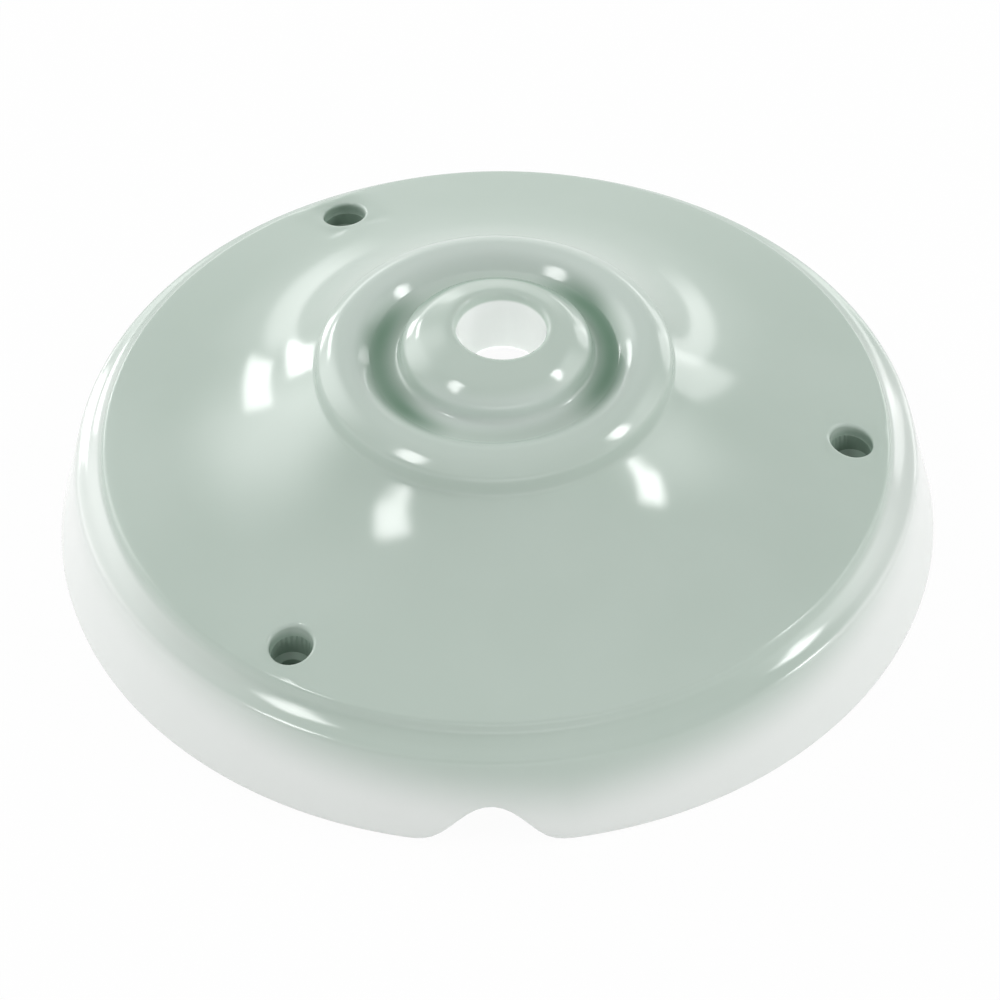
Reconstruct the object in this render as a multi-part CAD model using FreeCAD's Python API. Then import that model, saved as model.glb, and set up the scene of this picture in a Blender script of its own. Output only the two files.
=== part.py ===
import FreeCAD, Part
import math
import os

# Ceiling rose: one piece of glazed porcelain, pressed and turned about the Z axis, with its
# foot ring on the plane z = 0 and the cable notch on the -Y side. The boss stands a little
# off centre towards +X, and the cable bore through it a little more.
# All sizes are millimetres, all angles degrees.

# Foot and side wall
foot_radius = 50.0         # outer edge of the foot ring
foot_edge = 0.6            # rounding of the outer foot edge and the notch, bevel of the inner edge
side_rise = 10.6           # height of the side wall up to the shoulder
side_lean = 2.4            # how far the side wall leans in over that height
side_wall = 4.2            # thickness of the side wall

# Shoulder step between the side wall and the dish
ledge_width = 2.35
ledge_rise = 1.15
ledge_cove = 3.0           # hollow where the ledge meets the riser
riser_width = 0.85
riser_rise = 1.8
shoulder_edge = 1.0
crease_edge = 0.6          # sharp rim where the dish begins

# Dish and flank
dish_width = 15.9          # from the crease in to the bend of the dish
dish_slope = 13.0
dish_curve = 37.5          # long hollow bend from dish to flank
dish_wall = 4.2            # thickness under the dish and the flank
flank_slope = 37.0

# Bead round the crown: a low roof with a rounded ridge and a steep outer side
bead_radius = 16.3         # where the roof's two sides would meet
bead_peak = 28.6           # height at which they would
bead_slope = 33.0
bead_inner_slope = 47.0    # runs down to the groove floor
bead_ridge = 4.0           # rounding of the ridge
bead_width = 3.7           # from there out to the steep side
bead_round = 0.9
bead_face = 80.0           # steepness of the outer side
bead_cove = 2.5            # hollow where the bead rises from the flank

# Groove and boss
groove_depth = 2.85        # from the height of the peak down to the groove floor
groove_cove = 0.5
boss_radius = 10.8         # at the groove floor
boss_cove = 0.9
boss_wall_rise = 2.28      # height of the boss's upright wall
boss_wall_slope = 84.0
boss_shoulder = 3.0
boss_top_slope = 28.5      # the top rises as a low cone towards the bore
boss_shift = 0.25          # how far the boss stands off centre
crown_wall = 4.1           # thickness under the groove floor

# Cable bore
bore_radius = 5.0
bore_lip = 0.8
bore_back_edge = 0.5
bore_shift = 0.8           # how far the bore stands off centre

# Screw holes and the posts that carry them
screw_count = 3
screw_inset = 4.4          # from the crease in to the screw circle
screw_from_notch = 33.0    # angle between the notch and the nearest screw
mouth_radius = 2.4
mouth_depth = 3.7          # straight part under the glazed mouth
mouth_lip = 0.45
throat_radius = 1.7
seat_slope = 45.0
post_radius = 5.6          # at the post's foot
post_draft = 3.0           # the posts widen upwards, as pressed clay does to leave its die
post_gap = 0.5             # the posts stop this far above the foot plane

# Cable notch in the foot
notch_half_width = 6.4
notch_slope = 46.0
notch_round = 3.6
notch_flare = 1.5

hollow_corner = 3.0        # rounding inside the hollow, under the shoulder

past = 2.0                 # how far a cutting shape runs past the face it opens
match = 0.02               # how near an edge lies to the place it is looked for


def slope(angle):
    return math.tan(math.radians(angle))


def meet(p, p_slope, q, q_slope):
    """Point where two lines, each falling outwards by its slope, cross."""
    r = (p[1] + p_slope * p[0] - q[1] - q_slope * q[0]) / (p_slope - q_slope)
    return (r, p[1] - p_slope * (r - p[0]))


def rounded_wire(corners, place):
    """Closed wire of straight runs and tangent arcs through (u, v, radius) corners.

    Two arcs that would run into each other on one side are both cut down to fit it.
    """
    points = [FreeCAD.Vector(u, v, 0) for u, v, _ in corners]
    count = len(points)
    sides = [points[(i + 1) % count] - points[i] for i in range(count)]
    reach = []
    for i in range(count):
        turn = sides[i - 1].getAngle(sides[i])
        reach.append(corners[i][2] * math.tan(turn / 2))
    fitted = list(reach)
    for i in range(count):
        after = (i + 1) % count
        share = sides[i].Length / max(reach[i] + reach[after], sides[i].Length)
        fitted[i] = min(fitted[i], reach[i] * share)
        fitted[after] = min(fitted[after], reach[after] * share)
    edges = []
    start = points[0] + sides[0].normalize() * fitted[0]
    for i in range(1, count + 1):
        here = i % count
        come = (points[here] - points[here - 1]).normalize()
        leave = (points[(here + 1) % count] - points[here]).normalize()
        entry = points[here] - come * fitted[here]
        if (entry - start).Length > 1e-6:
            edges.append(Part.LineSegment(place(start), place(entry)).toShape())
        exit_point = points[here] + leave * fitted[here]
        if fitted[here] > 1e-6:
            half = come.getAngle(leave) / 2
            bisector = (leave - come).normalize()
            radius = fitted[here] / math.tan(half)
            depth = radius / math.cos(half) - radius
            middle = points[here] + bisector * depth
            arc = Part.Arc(place(entry), place(middle), place(exit_point))
            edges.append(arc.toShape())
        start = exit_point
    return Part.Wire(edges)


def on_section(point):
    """Place of an (r, z) point on the half plane that is turned about the Z axis.

    It stands opposite the first screw, so no seam runs through a post.
    """
    away = math.radians(first_screw + 180)
    return FreeCAD.Vector(point.x * math.cos(away), point.x * math.sin(away), point.y)


def turned(corners):
    face = Part.Face(rounded_wire(corners, on_section))
    return face.revolve(FreeCAD.Vector(0, 0, 0), FreeCAD.Vector(0, 0, 1), 360)


# Corners of the outer section, from the foot in to the bore
shoulder = (foot_radius - side_lean, side_rise)
ledge = (shoulder[0] - ledge_width, shoulder[1] + ledge_rise)
crease = (ledge[0] - riser_width, ledge[1] + riser_rise)
bend = (crease[0] - dish_width, crease[1] + dish_width * slope(dish_slope))
bead_top = (bead_radius, bead_peak)
bead_out = (bead_radius + bead_width, bead_peak - bead_width * slope(bead_slope))
bead_root = meet(bend, slope(flank_slope), bead_out, slope(bead_face))
groove_floor = bead_peak - groove_depth
groove_out = (bead_radius - groove_depth / slope(bead_inner_slope), groove_floor)
boss_top = (
    boss_radius - boss_wall_rise / slope(boss_wall_slope),
    groove_floor + boss_wall_rise,
)
bore_mouth_height = boss_top[1] + (boss_top[0] - bore_radius) * slope(boss_top_slope)
ceiling = groove_floor - crown_wall

# Corners of the hollow, each a wall's thickness behind the outer face
side_slope = side_rise / side_lean
dish_under = (bend[0], bend[1] - dish_wall / math.cos(math.radians(dish_slope)))
flank_under = (bend[0], bend[1] - dish_wall / math.cos(math.radians(flank_slope)))
side_under = (foot_radius - side_wall * math.hypot(1, 1 / side_slope), 0)
hollow_bend = meet(dish_under, slope(dish_slope), flank_under, slope(flank_slope))
hollow_side = meet(side_under, side_slope, dish_under, slope(dish_slope))
hollow_top = meet(flank_under, slope(flank_slope), (0, ceiling), 0)
hollow_foot = (side_under[0] - foot_edge / side_slope, foot_edge)

screw_circle = crease[0] - screw_inset
screw_face = crease[1] + screw_inset * slope(dish_slope)
first_screw = 270.0 - screw_from_notch
screw_angles = [first_screw + 360.0 * i / screw_count for i in range(screw_count)]


def make_blank():
    """The outer form without the boss, solid from the foot plane to the groove floor."""
    return turned([
        (0, 0, 0),
        (foot_radius, 0, 0),
        (*shoulder, shoulder_edge),
        (*ledge, ledge_cove),
        (*crease, crease_edge),
        (*bend, dish_curve),
        (*bead_root, bead_cove),
        (*bead_out, bead_round),
        (*bead_top, bead_ridge),
        (*groove_out, groove_cove),
        (0, groove_floor, 0),
    ])


def make_boss():
    """The boss, let into the blank, with its top closed over the bore."""
    inside = bore_radius / 2
    closed = bore_mouth_height + inside * slope(boss_top_slope)
    return turned([
        (0, groove_floor - past, 0),
        (boss_radius + past / slope(boss_wall_slope), groove_floor - past, 0),
        (*boss_top, boss_shoulder),
        (inside, closed, 0),
        (0, closed, 0),
    ])


def make_bore():
    """Cutter for the bore, opened out a little where it meets the ceiling of the hollow."""
    return turned([
        (0, ceiling - past, 0),
        (bore_radius + bore_back_edge + past, ceiling - past, 0),
        (bore_radius, ceiling + bore_back_edge, 0),
        (bore_radius, bore_mouth_height + past, 0),
        (0, bore_mouth_height + past, 0),
    ])


def aside(shape, shift):
    shape.translate(FreeCAD.Vector(shift, 0, 0))
    return shape


def boss_foot(body):
    """The edge where the boss rises from the groove floor."""
    found = []
    for edge in body.Edges:
        box = edge.BoundBox
        aside_off = abs(box.XMax - boss_shift - boss_radius) + abs(box.YMax - boss_radius)
        height_off = abs(box.ZMin - groove_floor) + abs(box.ZMax - groove_floor)
        if aside_off + height_off < match:
            found.append(edge)
    return found


def bore_mouth(body):
    """The edge where the bore opens on top of the boss."""
    found = []
    for edge in body.Edges:
        off = [abs(math.hypot(p.x - bore_shift, p.y) - bore_radius) for p in edge.discretize(9)]
        if max(off) < match and edge.BoundBox.ZMin > (boss_top[1] + bore_mouth_height) / 2:
            found.append(edge)
    return found


def make_post(angle):
    """Upright post round a screw, left standing in the hollow."""
    away = math.radians(angle)
    base = FreeCAD.Vector(screw_circle * math.cos(away), screw_circle * math.sin(away), post_gap)
    return Part.makeCone(post_radius, post_radius + ceiling * slope(post_draft), ceiling, base)


def make_hollow(angles):
    """The space under the rose, less the screw posts."""
    space = turned([
        (0, -past, 0),
        (hollow_foot[0] + foot_edge + past, -past, 0),
        (*hollow_foot, 0),
        (*hollow_side, hollow_corner),
        (*hollow_bend, 0),
        (*hollow_top, 0),
        (0, ceiling, 0),
    ])
    for angle in angles:
        space = space.cut(make_post(angle))
    return space


def make_screw_hole(angle):
    """Stepped hole: a straight mouth, a sloping seat and a narrower throat."""
    seat = screw_face - mouth_depth
    seat_rise = (mouth_radius - throat_radius) * slope(seat_slope)
    hole = turned([
        (0, -past, 0),
        (throat_radius, -past, 0),
        (throat_radius, seat - seat_rise, 0),
        (mouth_radius, seat, 0),
        (mouth_radius, screw_face + past, 0),
        (0, screw_face + past, 0),
    ])
    hole.translate(FreeCAD.Vector(screw_circle, 0, 0))
    hole.rotate(FreeCAD.Vector(0, 0, 0), FreeCAD.Vector(0, 0, 1), angle)
    return hole


def make_notch():
    """Arched cutter for the cable notch, wider at its foot."""
    reach = notch_half_width + past * 2
    apex = notch_half_width * slope(notch_slope)
    low = -foot_edge / 10
    outer = -(foot_radius + past)

    def on_front(point):
        return FreeCAD.Vector(point.x, outer, point.y)

    wire = rounded_wire([
        (-reach, -past, 0),
        (reach, -past, 0),
        (reach, low, 0),
        (notch_half_width, low, notch_flare),
        (0, apex, notch_round),
        (-notch_half_width, low, notch_flare),
        (-reach, low, 0),
    ], on_front)
    depth = side_wall + side_lean + past * 2
    return Part.Face(wire).extrude(FreeCAD.Vector(0, depth, 0))


def mouth_edges(body, angles):
    """The round edges where the screw holes open on the dish."""
    found = []
    for edge in body.Edges:
        box = edge.BoundBox
        if box.ZMin < screw_face - mouth_depth / 2:
            continue
        for angle in angles:
            away = math.radians(angle)
            x = box.Center.x - screw_circle * math.cos(away)
            y = box.Center.y - screw_circle * math.sin(away)
            if math.hypot(x, y) < mouth_radius / 2 and box.XLength > mouth_radius:
                found.append(edge)
    return found


def outer_foot_edges(body):
    """The side wall's lower edge, with the arch where it rises over the notch."""
    found = []
    for edge in body.Edges:
        points = edge.discretize(5)
        off = [abs(math.hypot(p.x, p.y) - foot_radius + p.z / side_slope) for p in points]
        low = max(p.z for p in points) < side_rise / 2
        if low and max(off) < match and edge.Curve.TypeId != "Part::GeomLine":
            found.append(edge)
    return found


def make_rose():
    body = make_blank().fuse(aside(make_boss(), boss_shift))
    body = body.makeFillet(boss_cove, boss_foot(body))
    body = body.cut(make_hollow(screw_angles))
    body = body.cut(aside(make_bore(), bore_shift))
    body = body.makeFillet(bore_lip, bore_mouth(body))
    for angle in screw_angles:
        body = body.cut(make_screw_hole(angle))
    body = body.makeFillet(mouth_lip, mouth_edges(body, screw_angles))
    body = body.cut(make_notch())
    return body.makeFillet(foot_edge, outer_foot_edges(body))


rose = make_rose()
os.makedirs("parts", exist_ok=True)
rose.exportStep("parts/porcelain_rose.step")
print(rose.ShapeType, "solids", len(rose.Solids), "valid", rose.isValid())
print("volume cm3", round(rose.Volume / 1000, 2), "faces", len(rose.Faces))
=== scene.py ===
import bpy
import math
from mathutils import Matrix, Quaternion, Vector


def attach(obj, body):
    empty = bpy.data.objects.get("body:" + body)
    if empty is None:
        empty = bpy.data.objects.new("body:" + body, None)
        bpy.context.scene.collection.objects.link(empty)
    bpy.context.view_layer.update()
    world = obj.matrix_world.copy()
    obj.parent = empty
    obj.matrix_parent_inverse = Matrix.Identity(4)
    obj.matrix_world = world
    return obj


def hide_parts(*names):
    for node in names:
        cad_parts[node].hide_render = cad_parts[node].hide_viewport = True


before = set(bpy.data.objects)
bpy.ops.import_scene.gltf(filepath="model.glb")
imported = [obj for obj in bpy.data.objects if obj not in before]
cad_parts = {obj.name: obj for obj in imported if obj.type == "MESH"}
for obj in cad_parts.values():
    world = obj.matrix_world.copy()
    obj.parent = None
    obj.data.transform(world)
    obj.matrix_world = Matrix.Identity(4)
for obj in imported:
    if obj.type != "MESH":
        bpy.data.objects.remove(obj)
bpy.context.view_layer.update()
mm = 0.001
mergeDistance = 0.005 * mm
print("frame loaded")


# Small helpers

def deselectAll():
    if bpy.context.object and bpy.context.object.mode != "OBJECT":
        bpy.ops.object.mode_set(mode="OBJECT")
    bpy.ops.object.select_all(action="DESELECT")


def makeActive(piece):
    deselectAll()
    piece.select_set(True)
    bpy.context.view_layer.objects.active = piece


def editMode(piece, kind):
    makeActive(piece)
    bpy.ops.object.mode_set(mode="EDIT")
    bpy.ops.mesh.select_mode(type=kind)
    bpy.ops.mesh.select_all(action="DESELECT")


def selectWhere(piece, kind, test):
    # The selection is made by place in object mode, then edit mode picks it up.
    editMode(piece, kind)
    bpy.ops.object.mode_set(mode="OBJECT")
    count = 0
    for part in piece.data.polygons if kind == "FACE" else piece.data.vertices:
        if test(part):
            part.select = True
            count += 1
    bpy.ops.object.mode_set(mode="EDIT")
    return count


def applyAll(piece):
    makeActive(piece)
    for modifier in list(piece.modifiers):
        bpy.ops.object.modifier_apply(modifier=modifier.name)


def tanDeg(angle):
    return math.tan(math.radians(angle))


# An outline of straight runs and round corners, drawn in the X-Z plane. Each corner is given as
# its place and its radius, and a radius that two corners can't share the side for is made smaller.

arc = dict(fewestSteps=3, degreesPerStep=15, moreSteps=9, shortest=1e-7)


def drawOutline(name, corners, longestRun, arcStep):
    points = [Vector((r, 0, z)) * mm for r, z, _ in corners]
    count = len(points)
    sides = [points[(i + 1) % count] - points[i] for i in range(count)]
    turns = [sides[i - 1].angle(sides[i]) for i in range(count)]
    reach = [corners[i][2] * mm * math.tan(turns[i] / 2) for i in range(count)]
    fitted = list(reach)
    for i in range(count):
        after = (i + 1) % count
        share = sides[i].length / max(reach[i] + reach[after], sides[i].length)
        fitted[i] = min(fitted[i], reach[i] * share)
        fitted[after] = min(fitted[after], reach[after] * share)
    here = points[0] + sides[0].normalized() * fitted[0]
    deselectAll()
    bpy.ops.mesh.primitive_plane_add(size=mm, location=here)
    outline = bpy.context.object
    outline.name = name
    bpy.ops.object.transform_apply(location=True, rotation=True, scale=True)
    bpy.ops.object.mode_set(mode="EDIT")
    bpy.ops.mesh.select_all(action="SELECT")
    bpy.ops.mesh.merge(type="CENTER")
    for i in range(1, count + 1):
        k = i % count
        come = sides[k - 1].normalized()
        entry = points[k] - come * fitted[k]
        run = entry - here
        if run.length > arc["shortest"]:
            steps = max(1, math.ceil(run.length / (longestRun * mm)))
            for _ in range(steps):
                bpy.ops.mesh.extrude_region_move(TRANSFORM_OT_translate={"value": run / steps})
            here = entry
        if fitted[k] > arc["shortest"]:
            radius = fitted[k] / math.tan(turns[k] / 2)
            leftTurn = come.cross(sides[k].normalized()).y < 0
            normal = Vector((-come.z, 0, come.x)) if leftTurn else Vector((come.z, 0, -come.x))
            centre = entry + normal * radius
            byLength = max(arc["fewestSteps"], math.ceil(radius * turns[k] / (arcStep * mm)))
            byTurn = max(arc["fewestSteps"], math.ceil(math.degrees(turns[k]) / arc["degreesPerStep"]))
            steps = min(byLength, byTurn + arc["moreSteps"])
            axis = (0, 1, 0) if leftTurn else (0, -1, 0)  # spin turns the left-hand way
            bpy.ops.mesh.spin(steps=steps, angle=turns[k], center=centre, axis=axis)
            here = points[k] + sides[k].normalized() * fitted[k]
    bpy.ops.mesh.select_all(action="SELECT")
    bpy.ops.mesh.remove_doubles(threshold=mergeDistance)
    bpy.ops.object.mode_set(mode="OBJECT")
    return outline


def spinRound(piece, columns):
    makeActive(piece)
    bpy.ops.object.mode_set(mode="EDIT")
    bpy.ops.mesh.select_all(action="SELECT")
    bpy.ops.mesh.spin(steps=columns, angle=math.tau, center=(0, 0, 0), axis=(0, 0, 1))
    bpy.ops.mesh.select_all(action="SELECT")
    bpy.ops.mesh.remove_doubles(threshold=mergeDistance)
    bpy.ops.mesh.select_all(action="SELECT")
    bpy.ops.mesh.normals_make_consistent(inside=False)
    bpy.ops.object.mode_set(mode="OBJECT")


# The porcelain body. Sizes in millimetres and degrees. Each slope is the surface's fall from level.

rose = dict(
    footRadius=50.0, footEdge=0.6, sideRise=10.6, sideLean=2.4, sideWall=4.2,
    ledgeWidth=1.5, ledgeRise=0.68, ledgeSoftness=6.0, rampWidth=1.45, rampRise=1.02, rampCove=1.2,
    riserWidth=0.25, riserRise=1.25, shoulderEdge=1.0, creaseEdge=0.6,
    dishWidth=15.9, dishSlope=13.0, dishCurve=37.5, dishWall=4.2, flankSlope=37.0,
    beadRadius=16.75, beadPeak=27.94, beadSlope=35.0, beadInnerSlope=36.5, beadRidge=2.5,
    beadWidth=3.05, beadRound=0.9, beadFace=85.0, beadCove=0.7,
    grooveDepth=2.19, grooveCove=0.5,
    bossRadius=10.8, bossCove=0.9, bossWallRise=2.08, bossWallSlope=84.0, bossShoulder=1.6,
    bossRimWidth=1.93, bossRimSlope=37.0, bossRimRound=5.0, bossTopSlope=23.0, bossShift=0.25,
    boreRadius=5.0, boreLip=0.8, boreBackEdge=0.5, boreBackRound=0.2, boreShift=0.8, crownWall=4.1,
    hollowCorner=3.0, hollowSoftness=0.6,
    columns=162, longestRun=1.4, arcStep=1.38, smoothAngle=38,
    screwHole=dict(
        count=3, inset=4.4, fromNotch=33.0, mouthRadius=2.4, mouthLip=0.45, pocketDepth=1.9,
        mouthDepth=3.7, throatRadius=1.7, seatSlope=45.0,
    ),
    post=dict(radius=5.6, draft=3.0, gap=0.5, cover=3.1, sides=64),
    notch=dict(halfWidth=6.4, slope=46.0, topRound=3.6, flare=1.5),
)
screwHole = rose["screwHole"]
post = rose["post"]
notch = rose["notch"]

shoulder = (rose["footRadius"] - rose["sideLean"], rose["sideRise"])
ledge = (shoulder[0] - rose["ledgeWidth"], shoulder[1] + rose["ledgeRise"])
ramp = (ledge[0] - rose["rampWidth"], ledge[1] + rose["rampRise"])
crease = (ramp[0] - rose["riserWidth"], ramp[1] + rose["riserRise"])
bend = (crease[0] - rose["dishWidth"], crease[1] + rose["dishWidth"] * tanDeg(rose["dishSlope"]))
beadTop = (rose["beadRadius"], rose["beadPeak"])
beadOut = (beadTop[0] + rose["beadWidth"], beadTop[1] - rose["beadWidth"] * tanDeg(rose["beadSlope"]))
grooveFloor = rose["beadPeak"] - rose["grooveDepth"]
grooveOut = (beadTop[0] - rose["grooveDepth"] / tanDeg(rose["beadInnerSlope"]), grooveFloor)
bossTop = (
    rose["bossRadius"] - rose["bossWallRise"] / tanDeg(rose["bossWallSlope"]),
    grooveFloor + rose["bossWallRise"],
)
bossRim = (
    bossTop[0] - rose["bossRimWidth"],
    bossTop[1] + rose["bossRimWidth"] * tanDeg(rose["bossRimSlope"]),
)
boreMouth = bossRim[1] + (bossRim[0] - rose["boreRadius"]) * tanDeg(rose["bossTopSlope"])
ceiling = grooveFloor - rose["crownWall"]
flankFall = tanDeg(rose["flankSlope"])
sideSteep = rose["sideRise"] / rose["sideLean"]
screwCircle = crease[0] - screwHole["inset"]
screwFace = crease[1] + screwHole["inset"] * tanDeg(rose["dishSlope"])
notchAngle = 270  # the front, which faces -Y
screwAngles = [
    notchAngle - screwHole["fromNotch"] + 360 * i / screwHole["count"]
    for i in range(screwHole["count"])
]


def crossing(p, pFall, q, qFall):
    # Where two falling lines meet, each given by a point and its fall.
    r = (p[1] + pFall * p[0] - q[1] - qFall * q[0]) / (pFall - qFall)
    return (r, p[1] - pFall * (r - p[0]))


beadRoot = crossing(bend, flankFall, beadOut, tanDeg(rose["beadFace"]))


def bodyCorners():
    dishUnder = (bend[0], bend[1] - rose["dishWall"] / math.cos(math.radians(rose["dishSlope"])))
    flankUnder = (bend[0], bend[1] - rose["dishWall"] * math.hypot(1, flankFall))
    sideUnder = (rose["footRadius"] - rose["sideWall"] * math.hypot(1, 1 / sideSteep), 0)
    hollowBend = crossing(dishUnder, tanDeg(rose["dishSlope"]), flankUnder, flankFall)
    hollowSide = crossing(sideUnder, sideSteep, dishUnder, tanDeg(rose["dishSlope"]))
    hollowTop = crossing(flankUnder, flankFall, (0, ceiling), 0)
    return [
        (*sideUnder, rose["footEdge"]),
        (rose["footRadius"], 0, rose["footEdge"]),
        (*shoulder, rose["shoulderEdge"]),
        (*ledge, rose["ledgeSoftness"]),
        (*ramp, rose["rampCove"]),
        (*crease, rose["creaseEdge"]),
        (*bend, rose["dishCurve"]),
        (*beadRoot, rose["beadCove"]),
        (*beadOut, rose["beadRound"]),
        (*beadTop, rose["beadRidge"]),
        (*grooveOut, rose["grooveCove"]),
        (rose["bossRadius"], grooveFloor, rose["bossCove"]),
        (*bossTop, rose["bossShoulder"]),
        (*bossRim, rose["bossRimRound"]),
        (rose["boreRadius"], boreMouth, rose["boreLip"]),
        (rose["boreRadius"], ceiling + rose["boreBackEdge"], rose["boreBackRound"]),
        (rose["boreRadius"] + rose["boreBackEdge"], ceiling, rose["boreBackRound"]),
        (*hollowTop, rose["hollowSoftness"]),
        (*hollowBend, rose["hollowSoftness"]),
        (*hollowSide, rose["hollowCorner"]),
    ]


def screwPlace(angle):
    away = math.radians(angle)
    return Vector((math.cos(away), math.sin(away), 0)) * screwCircle * mm


def polar(place):
    return math.hypot(place.x, place.y) / mm, math.degrees(math.atan2(place.y, place.x))


def angleOff(a, b):
    return abs((a - b + 180) % 360 - 180)


# The block of faces that makes way for a screw mouth, and the ring that takes its place.
# The patch round the ring is laid on the dish.

window = dict(radial=3.9, angle=6.2, facingUp=0.5, lowest=0.5, patchReach=0.9, patchLowest=0.85)
ring = dict(sides=24, lipSteps=3, firstFall=0.3, aside=0.05, above=2.0)


def cutWindow(body, angle):
    lowest = ceiling * mm * window["lowest"]

    def inWindow(face):
        r, a = polar(face.center)
        onTop = face.normal.z > window["facingUp"] and face.center.z > lowest
        return onTop and abs(r - screwCircle) < window["radial"] and angleOff(a, angle) < window["angle"]

    faces = selectWhere(body, "FACE", inWindow)
    bpy.ops.mesh.delete(type="FACE")
    editMode(body, "EDGE")
    bpy.ops.mesh.select_non_manifold(extend=False)
    bpy.ops.object.mode_set(mode="OBJECT")
    border = sum(vertex.select for vertex in body.data.vertices)
    print("screw mouth at", angle, "faces", faces, "border", border)


def joinRing(body, angle, outer):
    deselectAll()
    bpy.ops.mesh.primitive_circle_add(
        vertices=ring["sides"], radius=outer, location=screwPlace(angle) + Vector((0, 0, screwFace * mm)),
        rotation=(0, 0, math.radians(angle)),
    )
    bpy.ops.object.transform_apply(location=True, rotation=True, scale=True)
    body.select_set(True)
    bpy.context.view_layer.objects.active = body
    bpy.ops.object.join()
    editMode(body, "EDGE")
    bpy.ops.mesh.select_non_manifold(extend=False)
    bpy.ops.mesh.bridge_edge_loops(number_cuts=1, interpolation="LINEAR")
    bpy.ops.object.mode_set(mode="OBJECT")


def layOnDish(body, blank, centre):
    reach = window["radial"] * mm * window["patchReach"]
    lowest = screwFace * mm * window["patchLowest"]
    patch = body.vertex_groups.new(name="patch")
    inside = [
        vertex.index for vertex in body.data.vertices
        if (vertex.co - centre).xy.length < reach and vertex.co.z > lowest
    ]
    patch.add(inside, 1.0, "REPLACE")
    wrap = body.modifiers.new("lie on the dish", "SHRINKWRAP")
    wrap.target = blank
    wrap.wrap_method = "PROJECT"
    wrap.use_project_x = False
    wrap.use_project_y = False
    wrap.use_project_z = True
    wrap.use_negative_direction = True
    wrap.use_positive_direction = True
    wrap.vertex_group = "patch"
    applyAll(body)
    body.vertex_groups.clear()


def rollLip(body, centre, outer, mouth):
    # The ring's edge rolls over and runs down as the mouth's wall, which is closed by a floor.
    def onRing(vertex):
        aside = abs((vertex.co - centre).xy.length - outer)
        return aside < ring["aside"] * mm and abs(vertex.co.z - screwFace * mm) < ring["above"] * mm

    selectWhere(body, "VERT", onRing)
    lip = screwHole["mouthLip"] * mm
    radius = outer
    depth = 0.0
    for i in range(1, ring["lipSteps"] + 1):
        turn = math.pi / 2 * i / ring["lipSteps"]
        nextRadius = mouth + lip * (1 - math.sin(turn))
        nextDepth = lip * (1 - math.cos(turn))
        bpy.ops.mesh.extrude_region_move(TRANSFORM_OT_translate={"value": (0, 0, depth - nextDepth)})
        share = nextRadius / radius
        pivot = centre + Vector((0, 0, screwFace * mm - nextDepth))
        bpy.ops.transform.resize(value=(share, share, share), center_override=pivot)
        radius = nextRadius
        depth = nextDepth
    for fall in (ring["firstFall"], screwHole["pocketDepth"] - ring["firstFall"]):
        bpy.ops.mesh.extrude_region_move(TRANSFORM_OT_translate={"value": (0, 0, -fall * mm)})
    bpy.ops.mesh.edge_face_add()
    bpy.ops.object.mode_set(mode="OBJECT")


def openScrewMouth(body, blank, angle):
    # The smoothing that follows draws a ring in by a sixth of the square of its turn from side
    # to side, so the ring is made that much larger.
    drawnIn = 1 - (math.tau / ring["sides"]) ** 2 / 6
    outer = (screwHole["mouthRadius"] + screwHole["mouthLip"]) * mm / drawnIn
    mouth = screwHole["mouthRadius"] * mm / drawnIn
    centre = screwPlace(angle)
    cutWindow(body, angle)
    joinRing(body, angle, outer)
    layOnDish(body, blank, centre)
    rollLip(body, centre, outer, mouth)


def archHeight(x):
    # The notch's outline: a round top, two sloping sides and a flared foot.
    x = abs(x)
    rise = tanDeg(notch["slope"])
    lean = math.radians(notch["slope"])
    topCentre = notch["halfWidth"] * rise - notch["topRound"] / math.cos(lean)
    footCentre = notch["halfWidth"] + notch["flare"] * math.tan(lean / 2)
    if x < notch["topRound"] * math.sin(lean):
        return topCentre + math.sqrt(notch["topRound"] ** 2 - x * x)
    if x < footCentre - notch["flare"] * math.sin(lean):
        return (notch["halfWidth"] - x) * rise
    if x < footCentre:
        return notch["flare"] - math.sqrt(notch["flare"] ** 2 - (x - footCentre) ** 2)
    return 0.0


# The part of the foot that the notch may lift, and how far under the shoulder the lift ends.

lifted = dict(front=30, reach=14, inward=4, underShoulder=1.6)


def liftNotch(body):
    # The foot is pushed up along the leaning side wall, column by column.
    top = (rose["sideRise"] - lifted["underShoulder"]) * mm
    for vertex in body.data.vertices:
        place = vertex.co
        if place.y > -lifted["front"] * mm or place.z > top or abs(place.x) > lifted["reach"] * mm:
            continue
        r, _ = polar(place)
        if r < rose["footRadius"] - rose["sideWall"] - lifted["inward"]:
            continue
        lift = archHeight(place.x / mm) * mm * (1 - max(place.z, 0) / top)
        vertex.co += Vector((0, lift / sideSteep, lift))


def ease(value, low, high):
    share = min(max((value - low) / (high - low), 0.0), 1.0)
    return share * share * (3 - 2 * share)


# The radii up to which the bore and the boss shift whole, and from which nothing shifts.

shift = dict(boreWhole=6.3, boreNone=8.8, bossWhole=12.0, bossNone=13.2, aboveCeiling=2, belowMouth=3)


def shiftCrown(body):
    # The boss stands a little to the right and the bore more so. The bore's mouth keeps to the
    # boss's sloping top, so it rises on the left and falls on the right.
    extra = rose["boreShift"] - rose["bossShift"]
    low = ceiling + shift["aboveCeiling"]
    high = boreMouth - shift["belowMouth"]
    for vertex in body.data.vertices:
        place = vertex.co
        r, _ = polar(place)
        share = 1 - ease(r, shift["boreWhole"], shift["boreNone"])
        moved = math.hypot(place.x / mm + share * extra, place.y / mm)
        fall = (moved - r) * tanDeg(rose["bossTopSlope"]) * ease(place.z / mm, low, high)
        boss = (1 - ease(r, shift["bossWhole"], shift["bossNone"])) * rose["bossShift"]
        lift = -fall * mm if r < shift["boreNone"] else 0
        vertex.co += Vector(((boss + share * extra) * mm, 0, lift))


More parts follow.
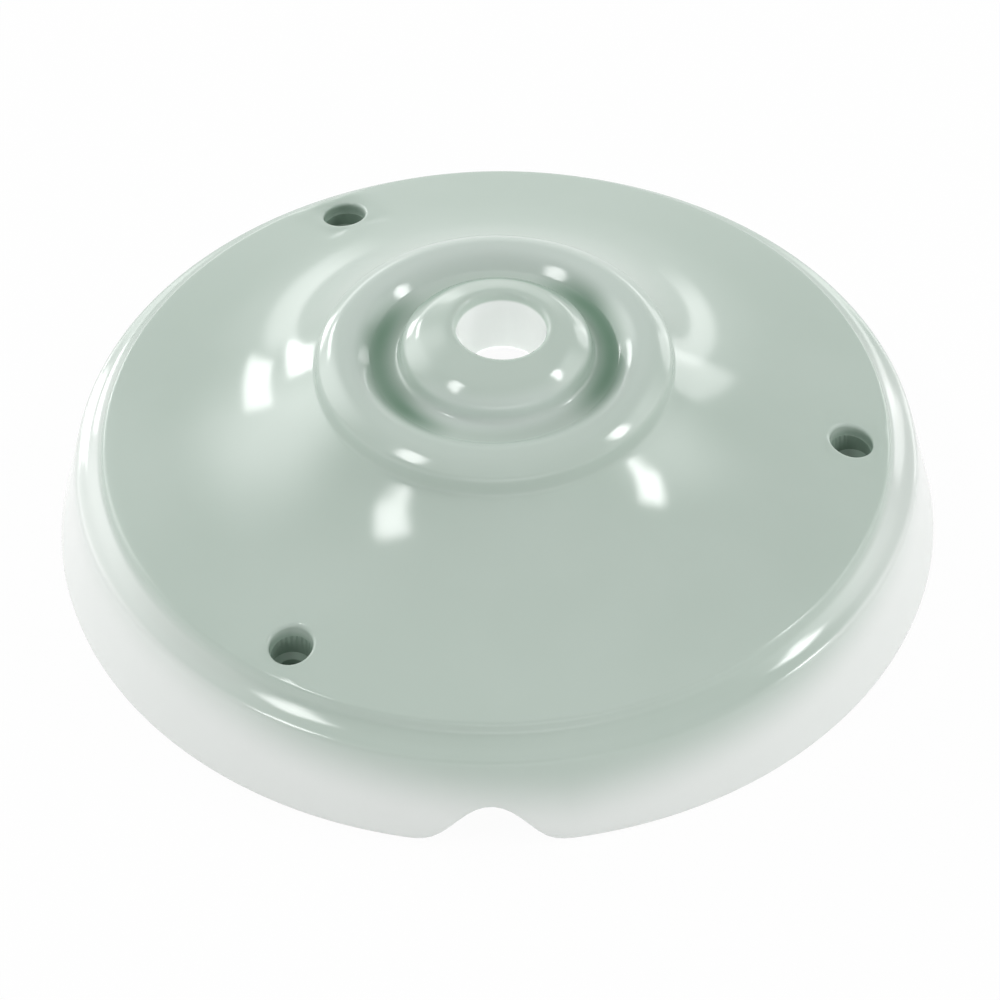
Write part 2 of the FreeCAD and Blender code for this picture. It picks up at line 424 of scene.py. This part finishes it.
def addPost(angle):
    # The post starts just above the foot's plane and ends inside the dish's wall, under the face.
    top = post["radius"] + screwFace * tanDeg(post["draft"])
    centre = screwPlace(angle)
    deselectAll()
    bpy.ops.mesh.primitive_cone_add(
        vertices=post["sides"], radius1=post["radius"] * mm, radius2=top * mm, depth=screwFace * mm,
        location=centre + Vector((0, 0, (post["gap"] + screwFace / 2) * mm)),
    )
    stem = bpy.context.object
    bpy.ops.object.transform_apply(location=True, rotation=True, scale=True)
    tilt = math.radians(rose["dishSlope"])
    bpy.ops.object.mode_set(mode="EDIT")
    bpy.ops.mesh.select_all(action="SELECT")
    bpy.ops.mesh.bisect(
        plane_co=centre + Vector((0, 0, (screwFace - post["cover"]) * mm)),
        plane_no=centre.normalized() * math.sin(tilt) + Vector((0, 0, math.cos(tilt))),
        use_fill=True, clear_outer=True,
    )
    bpy.ops.object.mode_set(mode="OBJECT")
    return stem


# The drill is a little thinner than the mouth, so that their walls don't lie on each other.

drill = dict(play=0.12, reach=0.9, below=2.0, longestRun=20, arcStep=1, sides=96)


def addDrill(angle):
    seat = screwFace - screwHole["mouthDepth"]
    mouth = screwHole["mouthRadius"] - drill["play"]
    throat = screwHole["throatRadius"]
    seatRise = (mouth - throat) * tanDeg(screwHole["seatSlope"])
    top = screwFace - screwHole["pocketDepth"] + drill["reach"]
    bit = drawOutline("drill", [
        (0.0, -drill["below"], 0),
        (throat, -drill["below"], 0),
        (throat, seat - seatRise, 0),
        (mouth, seat, 0),
        (mouth, top, 0),
        (0.0, top, 0),
    ], drill["longestRun"], drill["arcStep"])
    spinRound(bit, drill["sides"])
    bit.location = screwPlace(angle)
    makeActive(bit)
    bpy.ops.object.transform_apply(location=True, rotation=True, scale=True)
    return bit


def combine(body, tool, operation):
    change = body.modifiers.new(operation, "BOOLEAN")
    change.object = tool
    change.operation = operation
    change.solver = "EXACT"
    applyAll(body)
    bpy.data.objects.remove(tool)


# Shorter edges than these, in millimetres, are merged or dissolved after the cuts.

sliver = dict(merge=0.002, flat=0.001)


def mergeSlivers(body):
    makeActive(body)
    bpy.ops.object.mode_set(mode="EDIT")
    bpy.ops.mesh.select_all(action="SELECT")
    bpy.ops.mesh.remove_doubles(threshold=mm * sliver["merge"])
    bpy.ops.mesh.dissolve_degenerate(threshold=mm * sliver["flat"])
    bpy.ops.object.mode_set(mode="OBJECT")


def makeBody():
    body = drawOutline("porcelain_body", bodyCorners(), rose["longestRun"], rose["arcStep"])
    print("outline points", len(body.data.vertices))
    # The outline is turned to the first screw, so that each screw falls on a column of points.
    makeActive(body)
    body.rotation_euler = (0, 0, math.radians(screwAngles[0]))
    bpy.ops.object.transform_apply(location=True, rotation=True, scale=True)
    spinRound(body, rose["columns"])
    blank = body.copy()
    blank.data = body.data.copy()
    bpy.context.collection.objects.link(blank)
    for angle in screwAngles:
        openScrewMouth(body, blank, angle)
    bpy.data.objects.remove(blank)
    liftNotch(body)
    shiftCrown(body)
    soft = body.modifiers.new("smooth", "SUBSURF")
    soft.levels = 1
    soft.render_levels = 1
    applyAll(body)
    for angle in screwAngles:
        combine(body, addPost(angle), "UNION")
    for angle in screwAngles:
        combine(body, addDrill(angle), "DIFFERENCE")
    mergeSlivers(body)
    bpy.ops.object.shade_smooth_by_angle(angle=math.radians(rose["smoothAngle"]))
    triangles = sum(len(face.vertices) - 2 for face in body.data.polygons)
    print("body triangles", triangles)
    return body


# Materials

class Socket:
    # A value in the node tree that can be used in Python sums.
    tree = None

    def __init__(self, link):
        self.link = link

    @classmethod
    def node(cls, kind, settings=None, sockets=None, out=0):
        # The settings come first, then the values or links of the sockets.
        made = cls.tree.nodes.new(kind)
        for name, value in (settings or {}).items():
            setattr(made, name, value)
        for name, value in (sockets or {}).items():
            cls.put(made.inputs[name], value)
        if isinstance(out, tuple):
            return [cls(made.outputs[name]) for name in out]
        return cls(made.outputs[out])

    @classmethod
    def put(cls, socket, value):
        if isinstance(value, Socket):
            cls.tree.links.new(value.link, socket)
        else:
            socket.default_value = value

    @classmethod
    def math(cls, operation, *values):
        return cls.node("ShaderNodeMath", {"operation": operation}, dict(enumerate(values)))

    def __add__(self, other):
        return Socket.math("ADD", self, other)

    def __radd__(self, other):
        return Socket.math("ADD", other, self)

    def __sub__(self, other):
        return Socket.math("SUBTRACT", self, other)

    def __rsub__(self, other):
        return Socket.math("SUBTRACT", other, self)

    def __mul__(self, other):
        return Socket.math("MULTIPLY", self, other)

    def __rmul__(self, other):
        return Socket.math("MULTIPLY", other, self)

    def __truediv__(self, other):
        return Socket.math("DIVIDE", self, other)


def linear(red, green, blue):
    # A screen colour out of 255, as the linear colour that a socket takes.
    def one(value):
        value /= 255
        return value / 12.92 if value <= 0.04045 else ((value + 0.055) / 1.055) ** 2.4
    return (one(red), one(green), one(blue), 1.0)


def mixColour(share, low, high):
    return Socket.node("ShaderNodeMix", {"data_type": "RGBA"}, {0: share, 6: low, 7: high}, out=2)


def split(vector):
    return Socket.node("ShaderNodeSeparateXYZ", None, {0: vector}, (0, 1, 2))


def noise(place, kind):
    return Socket.node(
        "ShaderNodeTexNoise", None, {"Vector": place, "Scale": kind["scale"], "Detail": kind["detail"]},
    )


def band(value, middle, width):
    # One at the middle, falling smoothly to nothing a width away.
    away = Socket.math("ABSOLUTE", (value - middle) / width)
    near = Socket.math("MAXIMUM", 1 - away, 0.0)
    return near * near * (3 - 2 * near)


def distance(x, y):
    return Socket.math("SQRT", x * x + y * y)


def step(value, low, high):
    # Nothing below the low value, one above the high value, and smooth between them.
    smooth = {"interpolation_type": "SMOOTHSTEP"}
    return Socket.node("ShaderNodeMapRange", smooth, {0: value, 1: low, 2: high})


# Screen colours out of 255. (108, 140, 119) is painted shade, (234, 238, 235) is painted light, and (208,
# 219, 213) serves thin glaze, the mottle and painted light.

glaze = dict(
    body=(186, 201, 191), paintedShade=(108, 140, 119), thinGlazeAndLight=(208, 219, 213), paintedLight=(234, 238, 235),
    inside=(240, 243, 241), bare=(226, 222, 212),
    roughness=0.1, bareRoughness=0.6, refraction=1.55,
)

# Where the glaze lies thin, where it is painted darker as shade or paler as light, where the bore
# is near white and where the foot is bare. Radii, widths and heights in millimetres. A pair is
# where a share starts and where it is whole. Sides run from 0 at the front to 1 at the left and
# right, and front and back from -1 at the front to 1 at the back.

# Painted shade: a darker green band in the groove, at the left and right only.
grooveShade = dict(radius=13.0, width=2.9, sides=(0.45, 0.92), lean=0.18)
# The bead's crest is paler: partly thin glaze, and painted light that grows towards the back.
beadThinAndLight = dict(radius=15.6, width=4.6, share=0.5, paintedLightPerBack=0.014)
# Painted light: the boss's wall is made paler at the front.
paintedLightBossFront = dict(radius=10.9, width=2.2, front=(0.45, 0.95), share=0.85)
# Painted shade: the boss's rim is made darker at the back.
paintedShadeBossBack = dict(radius=9.8, width=2.2, back=(0.1, 0.85), share=0.6)
# Painted light: the side wall is paler towards the foot, more so at the sides and less at the back.
paintedLightFoot = dict(
    radius=(46.9, 47.4), height=9.8, higherAtSides=5.5, fade=8.5, back=(-0.3, 0.4), lessAtBack=0.45,
)
# Painted light: the rim at the crease is paler at the left and right.
paintedLightRim = dict(radius=(44.3, 45.2), sides=(0.55, 0.98), back=0.5, backFade=0.4, share=0.55)
paleBore = dict(top=29.6, topFade=0.5, reach=5.45, edge=0.4)
# Painted shade: the screw holes are darker green inside.
deepHole = dict(past=0.25, edge=0.3, below=0.3, fade=1.0, share=0.45)
bareFoot = dict(height=0.4, fade=0.25)
crown = (24.0, 25.0)
cloud = dict(scale=60.0, detail=3.0, range=(0.35, 0.75), share=0.12, roughLow=0.85, roughMore=0.3)
ripple = dict(scale=260.0, detail=1.0, strength=0.25, depth=0.02)


def fade(start, width):
    # A share that is nothing at the start and whole a width further.
    return step(start, 0.0, width)


def makeGlaze():
    material = bpy.data.materials.new("sageGlaze")
    material.use_nodes = True
    Socket.tree = material.node_tree
    shader = Socket.tree.nodes["Principled BSDF"]
    place = Socket.node("ShaderNodeTexCoord", out="Object")
    x, y, z = [part / mm for part in split(place)]
    r = distance(x, y)
    sideways = Socket.math("ABSOLUTE", x + grooveShade["lean"] * y) / r
    toBack = y / r

    onCrown = step(z, *crown)
    # Painted shade: darker green in the groove at the left and right only.
    paintedShade = step(sideways, *grooveShade["sides"]) * band(r, grooveShade["radius"], grooveShade["width"]) * onCrown
    # The bead's crest is paler: partly thin glaze, and painted light that grows towards the back.
    thinGlazeAndLight = band(r, beadThinAndLight["radius"], beadThinAndLight["width"]) * onCrown
    thinGlazeAndLight = thinGlazeAndLight * (beadThinAndLight["share"] + beadThinAndLight["paintedLightPerBack"] * y)
    # Painted light: the boss's wall is made paler at the front.
    bossFrontLight = band(r, paintedLightBossFront["radius"], paintedLightBossFront["width"]) * onCrown
    bossFrontLight = bossFrontLight * step(0 - toBack, *paintedLightBossFront["front"]) * paintedLightBossFront["share"]
    # Painted shade: the boss's rim is made darker at the back.
    bossBackShade = band(r, paintedShadeBossBack["radius"], paintedShadeBossBack["width"]) * onCrown
    bossBackShade = bossBackShade * step(toBack, *paintedShadeBossBack["back"]) * paintedShadeBossBack["share"]

    # Painted light: the side wall is paler towards the foot, more so at the sides and less at the back.
    footLight = step(r, *paintedLightFoot["radius"])
    footLight = footLight * fade(paintedLightFoot["height"] + paintedLightFoot["higherAtSides"] * sideways - z, paintedLightFoot["fade"])
    footLight = footLight * (1 - paintedLightFoot["lessAtBack"] * step(toBack, *paintedLightFoot["back"]))
    # Painted light: the rim at the crease is made paler at the left and right.
    rimLight = step(r, *paintedLightRim["radius"]) * step(sideways, *paintedLightRim["sides"])
    rimLight = rimLight * fade(paintedLightRim["back"] - toBack, paintedLightRim["backFade"]) * paintedLightRim["share"]

    fromBore = distance(x - rose["boreShift"], y)
    inBore = fade(paleBore["top"] - z, paleBore["topFade"])
    inBore = inBore * fade(paleBore["reach"] - fromBore, paleBore["edge"])
    # Painted shade: the screw holes are made darker green inside, below the dish.
    inHole = 0.0
    for angle in screwAngles:
        centre = screwPlace(angle) / mm
        away = distance(x - centre.x, y - centre.y)
        inHole = inHole + fade(screwHole["mouthRadius"] + deepHole["past"] - away, deepHole["edge"])
    inHole = inHole * fade(screwFace - deepHole["below"] - z, deepHole["fade"]) * deepHole["share"]
    bare = fade(bareFoot["height"] - z, bareFoot["fade"])
    clouds = noise(place, cloud)

    # Painted shade, thin glaze, mottle, painted light, the pale bore and the bare foot are laid over the
    # body colour in turn.
    colour = mixColour(thinGlazeAndLight, linear(*glaze["body"]), linear(*glaze["thinGlazeAndLight"]))
    for share, name in (
        (paintedShade, "paintedShade"),
        (step(clouds, *cloud["range"]) * cloud["share"], "thinGlazeAndLight"),
        (bossFrontLight, "thinGlazeAndLight"),
        (Socket.math("MAXIMUM", inHole, bossBackShade), "paintedShade"),
        (rimLight, "paintedLight"),
        (footLight, "paintedLight"),
        (inBore, "inside"),
        (bare, "bare"),
    ):
        colour = mixColour(share, colour, linear(*glaze[name]))
    Socket.put(shader.inputs["Base Color"], colour)
    rough = glaze["roughness"] * (cloud["roughLow"] + cloud["roughMore"] * clouds)
    Socket.put(shader.inputs["Roughness"], rough + bare * (glaze["bareRoughness"] - rough))
    bump = Socket.node("ShaderNodeBump", None, {
        "Strength": ripple["strength"], "Distance": ripple["depth"] * mm, "Height": noise(place, ripple),
    })
    Socket.put(shader.inputs["Normal"], bump)
    shader.inputs["IOR"].default_value = glaze["refraction"]
    return material


# Camera, floor and light. The camera's angles are in degrees and its distances in millimetres,
# but the nearest distance that it sees is in metres.

camera = dict(
    turn=1.4, elevation=45.217, roll=-1.004, distance=641.408, aimSide=0.346, aimHeight=2.869,
    lens=202.46, sensor=36.0, nearest=0.01,
)

# The floor's size is in metres and its depth below the foot in millimetres. The glow is the share
# of it that the camera and reflections see as plain white, and the rest is lit paper.

paper = dict(size=6.0, below=0.05, colour=(0.9, 0.9, 0.9, 1), glow=0.96)


def addCamera():
    turn = math.radians(camera["turn"])
    rise = math.radians(camera["elevation"])
    roll = math.radians(camera["roll"])
    back = Vector((math.sin(turn) * math.cos(rise), -math.cos(turn) * math.cos(rise), math.sin(rise)))
    right = (-back).cross(Vector((0, 0, 1))).normalized()
    up = right.cross(-back)
    rolledRight = right * math.cos(roll) + up * math.sin(roll)
    rolledUp = up * math.cos(roll) - right * math.sin(roll)
    aim = Vector((0, 0, camera["aimHeight"])) + right * camera["aimSide"]
    eye = (aim + back * camera["distance"]) * mm
    view = bpy.data.cameras.new("photoView")
    view.lens = camera["lens"]
    view.sensor_width = camera["sensor"]
    view.clip_start = camera["nearest"]
    seer = bpy.data.objects.new("photoView", view)
    bpy.context.scene.collection.objects.link(seer)
    seer.matrix_world = Matrix((
        (rolledRight.x, rolledUp.x, back.x, eye.x),
        (rolledRight.y, rolledUp.y, back.y, eye.y),
        (rolledRight.z, rolledUp.z, back.z, eye.z),
        (0, 0, 0, 1),
    ))
    bpy.context.scene.camera = seer


def addFloor():
    deselectAll()
    bpy.ops.mesh.primitive_plane_add(size=paper["size"], location=(0, 0, -paper["below"] * mm))
    floor = bpy.context.object
    floor.name = "floor"
    material = bpy.data.materials.new("paperFloor")
    material.use_nodes = True
    tree = material.node_tree
    tree.nodes.remove(tree.nodes["Principled BSDF"])
    Socket.tree = tree
    diffuse = Socket.node("ShaderNodeBsdfDiffuse", None, {"Color": paper["colour"]})
    glow = Socket.node("ShaderNodeEmission", None, {"Color": (1, 1, 1, 1), "Strength": 1.0})
    seen, mirrored, through = Socket.node(
        "ShaderNodeLightPath", out=("Is Camera Ray", "Is Glossy Ray", "Is Transmission Ray"),
    )
    share = Socket.math("MINIMUM", seen + mirrored + through, 1.0) * paper["glow"]
    blend = Socket.node("ShaderNodeMixShader", None, {0: share, 1: diffuse, 2: glow})
    Socket.put(tree.nodes["Material Output"].inputs["Surface"], blend)
    floor.data.materials.append(material)


# Softboxes: where they stand, how wide and high they look from the rose and how far they are
# tilted, all in degrees, how bright they are against white, and how much is a soft edge.
# They all stand at one distance in metres.

softboxes = dict(
    left=dict(turn=204.0, rise=55.0, width=14.5, height=15.5, bright=10.0, edge=0.6),
    right=dict(turn=3.0, rise=44.5, width=11.0, height=13.5, bright=13.0, edge=0.6),
    backLeft=dict(turn=147.0, rise=25.0, width=54.0, height=60.0, bright=3.0, edge=0.9),
    backLeftHigh=dict(turn=128.5, rise=17.0, width=18.0, height=8.0, bright=6.0, edge=0.35, tilt=37.0),
    backLeftLow=dict(turn=127.0, rise=4.5, width=17.0, height=5.5, bright=6.0, edge=0.35, tilt=28.0),
    backLeftWide=dict(turn=112.0, rise=5.0, width=28.0, height=16.0, bright=1.6, edge=0.6),
    backRight=dict(turn=46.5, rise=10.0, width=20.0, height=20.0, bright=2.2, edge=0.4),
    backRightWide=dict(turn=62.0, rise=4.0, width=34.0, height=12.0, bright=1.8, edge=0.6),
    farRight=dict(turn=8.0, rise=29.0, width=60.0, height=46.0, bright=1.9, edge=0.8),
    front=dict(turn=275.0, rise=14.0, width=80.0, height=30.0, bright=1.2, edge=0.8),
    back=dict(turn=94.0, rise=20.0, width=70.0, height=26.0, bright=0.3, edge=0.9),
)
softboxDistance = 1.2

# Light that comes up from the pale table through the bore, with its sizes in millimetres.

bounce = dict(width=16.0, height=9.0, bright=5.8)

# Pale all round, brighter overhead and at the horizon. A pair is where a share starts and where
# it is whole, from -1 straight down to 1 straight up.

world = dict(round=0.35, top=0.8, topFrom=(0.7, 1.0), horizon=0.9, horizonTo=(0.12, 0.45))


def addSoftbox(name, turn, rise, width, height, bright, edge, tilt=0.0):
    wide = 2 * softboxDistance * tanDeg(width / 2)
    high = 2 * softboxDistance * tanDeg(height / 2)
    light = bpy.data.lights.new(name, "AREA")
    light.shape = "RECTANGLE"
    light.size = wide
    light.size_y = high
    light.energy = bright * wide * high * math.pi
    light.use_nodes = True
    Socket.tree = light.node_tree
    share = 1.0
    for across in split(Socket.node("ShaderNodeNewGeometry", out="Parametric"))[:2]:
        fromEdge = 1 - Socket.math("ABSOLUTE", across * 2 - 1)
        share = share * step(fromEdge, 0.0, edge)
    Socket.put(light.node_tree.nodes["Emission"].inputs["Strength"], share)
    lamp = bpy.data.objects.new(name, light)
    bpy.context.scene.collection.objects.link(lamp)
    level = math.cos(math.radians(rise))
    away = Vector((
        math.cos(math.radians(turn)) * level, math.sin(math.radians(turn)) * level,
        math.sin(math.radians(rise)),
    ))
    lamp.location = away * softboxDistance
    tilted = Quaternion((0, 0, 1), math.radians(tilt))
    lamp.rotation_euler = (away.to_track_quat("Z", "Y") @ tilted).to_euler()


def addBounce():
    light = bpy.data.lights.new("boreBounce", "AREA")
    light.shape = "DISK"
    light.size = bounce["width"] * mm
    light.energy = bounce["bright"] * (bounce["width"] * mm / 2) ** 2 * math.pi ** 2
    lamp = bpy.data.objects.new("boreBounce", light)
    bpy.context.scene.collection.objects.link(lamp)
    lamp.location = (rose["boreShift"] * mm, 0, bounce["height"] * mm)
    lamp.rotation_euler = (math.pi, 0, 0)


def addWorld():
    room = bpy.data.worlds.new("paleRoom")
    bpy.context.scene.world = room
    room.use_nodes = True
    Socket.tree = room.node_tree
    _, _, height = split(Socket.node("ShaderNodeTexCoord", out="Generated"))
    strength = step(height, *world["topFrom"]) * (world["top"] - world["round"]) + world["round"]
    low = 1 - step(height, *world["horizonTo"])
    strength = strength + low * (world["horizon"] - world["round"])
    shine = room.node_tree.nodes["Background"]
    Socket.put(shine.inputs["Color"], (1, 1, 1, 1))
    Socket.put(shine.inputs["Strength"], strength)


addCamera()
addFloor()
for name, values in softboxes.items():
    addSoftbox(name + "Softbox", **values)
addBounce()
addWorld()
print("camera, floor and light set")

body = makeBody()
body.data.materials.clear()
body.data.materials.append(makeGlaze())
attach(body, "root")
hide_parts("porcelain_rose")
print("rose made")

bpy.context.scene.view_settings.view_transform = "Standard"
